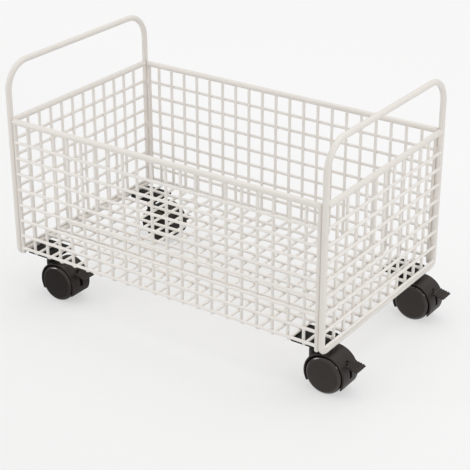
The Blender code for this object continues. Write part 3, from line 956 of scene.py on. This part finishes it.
for corner in casterCorners:
    low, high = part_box(corner + "_top_plate")
    place = Matrix.Translation(((low.x + high.x) / 2, (low.y + high.y) / 2, 0))
    for node, (word, mesh, finishes, slot, body) in casterPieces.items():
        copy = mesh.copy()
        copy.transform(place)
        rider = body if body == "basket" else corner + "_" + body
        addPiece(corner + "_" + node, word, copy, finishes, rider)
print("casters:", len(casterCorners), "corners of", len(casterPieces), "pieces")


# Stage: a pale floor, a pale surround and soft lamps
stage = {
    "floorSize": 12.0,
    "floorCells": 4,
    "floorTone": (0.85, 0.85, 0.845),
    "floorRoughness": 0.9,
    "clouds": {"scale": 3.0, "detail": 2.0},
    "cloudLift": 0.01,  # how much paler the floor's clouds are
    "nearTone": (0.87, 0.87, 0.87),  # the floor as the camera sees it, in front of the trolley, darker as painted shade
    "farTone": (0.98, 0.98, 0.98),  # and far behind it
    "backward": (0.19, 0.98, 0),  # the way from near to far
    "nearEnd": -0.4,  # where the one tone ends and the other begins, along that way
    "farStart": 0.6,
    "seenShare": 0.58,  # how much of these tones the camera sees; the rest takes the shadows
    "backdropTone": (0.92, 0.92, 0.92),
    "mirrorTone": (0.74, 0.74, 0.74),  # a painted reflection: the fixed tone glossy surfaces see in place of the lit floor, on the right
    "mirrorShade": (0.32, 0.32, 0.32),  # and on the left, darker as painted shade
    "mirrorFrom": -0.23,  # where the shade ends and the tone begins, along X
    "mirrorTo": 0.18,
    "surround": 0.63,  # light from the sides of the studio
    "ceiling": 0.82,  # light from the white ceiling
    "ceilingFrom": 0.15,  # where the sides end and the ceiling begins, as the sine of the height
    "ceilingTo": 0.75,
}


def rays(kit, kind):
    return kit.node("LightPath", {}, {}, "Is " + kind + " Ray")


def glow(kit, tone):
    return kit.node("Emission", {}, {"Color": (*tone, 1), "Strength": 1.0})


def sky(kit, tone, strength):
    return kit.node("Background", {}, {"Color": (*tone, 1), "Strength": strength})


def ramp(kit, value, start, end):
    return kit.node("MapRange", {}, {"Value": value, "From Min": start, "From Max": end})


def mixShaders(kit, share, first, second):
    return kit.node("MixShader", {}, {0: share, 1: first, 2: second})


def makeFloor():
    material, kit, place = startFinish("pale_floor")
    clouds = noise(kit, place, **stage["clouds"])
    paler = tuple(value + stage["cloudLift"] for value in stage["floorTone"])
    endFinish(material, kit, {
        "Base Color": mixColours(kit, clouds, stage["floorTone"], paler),
        "Roughness": stage["floorRoughness"],
    })
    backward = {0: place, 1: stage["backward"]}
    depth = kit.node("VectorMath", {"operation": "DOT_PRODUCT"}, backward, "Value")
    behind = ramp(kit, depth, stage["nearEnd"], stage["farStart"])
    shown = mixShaders(kit, behind, glow(kit, stage["nearTone"]), glow(kit, stage["farTone"]))
    # painted reflection: glossy rays see a fixed tone in place of the lit floor, with painted
    # shade on the left
    aside = kit.node("SeparateXYZ", {}, {0: place}, "X")
    rightward = ramp(kit, aside, stage["mirrorFrom"], stage["mirrorTo"])
    shade, tone = glow(kit, stage["mirrorShade"]), glow(kit, stage["mirrorTone"])
    paintedReflection = mixShaders(kit, rightward, shade, tone)
    tree = material.node_tree
    lit = Socket(tree, tree.nodes["Principled BSDF"].outputs[0])
    seen = (rays(kit, "Camera") + rays(kit, "Transmission")) * stage["seenShare"]
    direct = mixShaders(kit, seen, lit, shown)
    mixed = mixShaders(kit, rays(kit, "Glossy"), direct, paintedReflection)
    kit.fill(tree.nodes["Material Output"], {"Surface": mixed})
    shape = bmesh.new()
    cells = stage["floorCells"]
    bmesh.ops.create_grid(shape, x_segments=cells, y_segments=cells, size=stage["floorSize"] / 2)
    mesh = bpy.data.meshes.new("floor")
    shape.to_mesh(mesh)
    shape.free()
    mesh.materials.append(material)
    floor = bpy.data.objects.new("floor", mesh)
    bpy.context.scene.collection.objects.link(floor)


def makeWorld():
    # a white ceiling over dimmer sides; the camera sees the backdrop's own tone
    world = bpy.data.worlds.new("studio")
    bpy.context.scene.world = world
    world.use_nodes = True
    tree = world.node_tree
    kit = Socket(tree)
    heading = kit.node("TexCoord", {}, {}, "Generated")
    rise = kit.node("SeparateXYZ", {}, {0: heading}, "Z")
    upward = ramp(kit, rise, stage["ceilingFrom"], stage["ceilingTo"])
    white = (1, 1, 1)
    sides, ceiling = sky(kit, white, stage["surround"]), sky(kit, white, stage["ceiling"])
    room = mixShaders(kit, upward, sides, ceiling)
    shown = sky(kit, stage["backdropTone"], 1.0)
    mixed = mixShaders(kit, rays(kit, "Camera") + rays(kit, "Transmission"), room, shown)
    kit.fill(tree.nodes["World Output"], {"Surface": mixed})


lamps = {
    "overhead": {
        "kind": "SUN",
        "energy": 0.7,
        "angle": 50,
        "roll": 0,
        "from": (0.0, 0.3, 0.95),
    },
    "right_softbox": {
        "kind": "AREA",
        "energy": 2.4,
        "size": (0.2, 0.2),
        "roll": 0,
        "from": (1.4, -0.3, 0.95),
    },
    "left_softbox": {
        "kind": "AREA",
        "energy": 3.0,
        "size": (0.16, 0.7),
        "roll": -38,
        "from": (-1.2, -0.95, 0.6),
    },
}


def makeLamps():
    target = Vector((basketX, 0, railZ / 2))
    for name, lamp in lamps.items():
        light = bpy.data.lights.new(name, lamp["kind"])
        light.energy = lamp["energy"]
        if lamp["kind"] == "SUN":
            light.angle = radians(lamp["angle"])
        else:
            light.shape = "RECTANGLE"
            light.size, light.size_y = lamp["size"]
        holder = bpy.data.objects.new(name, light)
        holder.location = lamp["from"]
        aim = target if lamp["kind"] == "AREA" else Vector()
        turn = (aim - holder.location).to_track_quat("-Z", "Y")
        roll = Quaternion((0, 0, 1), radians(lamp["roll"]))
        holder.rotation_euler = (turn @ roll).to_euler()
        bpy.context.scene.collection.objects.link(holder)


# Camera: a long lens from the front right, looking down
shot = {
    "focalPixels": 1400,
    "framePixels": 470,
    "sensor": 36,
    "place": (0.9336, -1.3569, 0.8932),
    "pitch": 25.69,
    "yaw": 34.54,
}


def makeCamera():
    lens = bpy.data.cameras.new("camera")
    lens.sensor_width = shot["sensor"]
    lens.lens = shot["focalPixels"] / shot["framePixels"] * lens.sensor_width
    camera = bpy.data.objects.new("camera", lens)
    camera.location = shot["place"]
    camera.rotation_euler = (radians(90 - shot["pitch"]), 0, radians(shot["yaw"]))
    bpy.context.scene.collection.objects.link(camera)
    bpy.context.scene.camera = camera


makeFloor()
makeWorld()
makeLamps()
makeCamera()
bpy.context.scene.view_settings.view_transform = "Standard"
print("stage: floor, surround, lamps and camera set")
